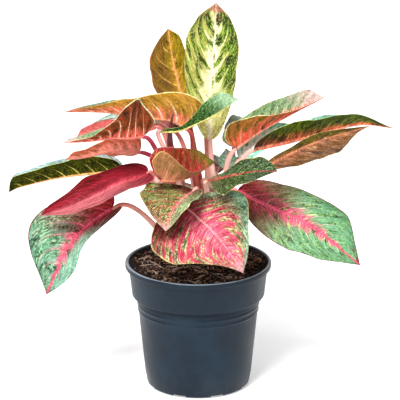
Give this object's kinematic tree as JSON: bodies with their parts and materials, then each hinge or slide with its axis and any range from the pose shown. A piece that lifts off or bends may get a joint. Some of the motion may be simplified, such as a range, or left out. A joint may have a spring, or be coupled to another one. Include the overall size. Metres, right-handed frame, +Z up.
{
  "type": "potted chinese evergreen",
  "caption": "Bushy potted plant with broad pink, red and green pointed leaves on short canes, in a round tapered nursery pot that stands on its flat foot.",
  "frame": {"origin": "centre of the pot's foot, on the plane it stands on", "axes": "+Z up along the pot's axis, +Y towards the back of the plant, +X to the right seen from the front"},
  "size_m": [0.3163, 0.2049, 0.316],
  "materials": {
    "pot_plastic": "satin, thin thermoformed wall",
    "soil": "rough, moist peat with bark chips and fibres",
    "canes": "smooth green-brown stem with pale leaf scars",
    "leaves": "soft gloss, pink and red with green mottling and pale veins",
    "stalks": "smooth pink leaf stalks"
  },
  "bodies": {
    "root": {"pot": "pot_plastic", "soil": "soil", "cane_back": "canes", "cane_right": "canes", "cane_left": "canes", "cane_front": "canes", "spear": "leaves", "leaf_top_tall": "leaves", "leaf_top_olive": "leaves", "leaf_left_high": "leaves", "leaf_left_folded": "leaves", "leaf_left_salmon": "leaves", "leaf_left_red": "leaves", "leaf_left_teal": "leaves", "leaf_left_long": "leaves", "leaf_left_crimson": "leaves", "leaf_left_hanging": "leaves", "leaf_centre_cupped": "leaves", "leaf_centre_mottled": "leaves", "leaf_front_pink": "leaves", "leaf_front_green": "leaves", "leaf_right_low": "leaves", "leaf_right_high": "leaves", "leaf_right_long": "leaves", "leaf_right_brown": "leaves", "leaf_right_teal": "leaves", "leaf_right_small": "leaves", "leaf_crossing": "leaves", "leaf_back_tall": "leaves", "leaf_back_left": "leaves", "leaf_back_right": "leaves", "leaf_back_side": "leaves", "leaf_back_low": "leaves", "stalk_top_tall": "stalks", "stalk_top_olive": "stalks", "stalk_left_high": "stalks", "stalk_left_folded": "stalks", "stalk_left_salmon": "stalks", "stalk_left_red": "stalks", "stalk_left_teal": "stalks", "stalk_left_long": "stalks", "stalk_left_crimson": "stalks", "stalk_left_hanging": "stalks", "stalk_centre_cupped": "stalks", "stalk_centre_mottled": "stalks", "stalk_front_pink": "stalks", "stalk_front_green": "stalks", "stalk_right_low": "stalks", "stalk_right_high": "stalks", "stalk_right_long": "stalks", "stalk_right_brown": "stalks", "stalk_right_teal": "stalks", "stalk_right_small": "stalks", "stalk_crossing": "stalks", "stalk_back_tall": "stalks", "stalk_back_left": "stalks", "stalk_back_right": "stalks", "stalk_back_side": "stalks", "stalk_back_low": "stalks"}
  },
  "joints": []
}
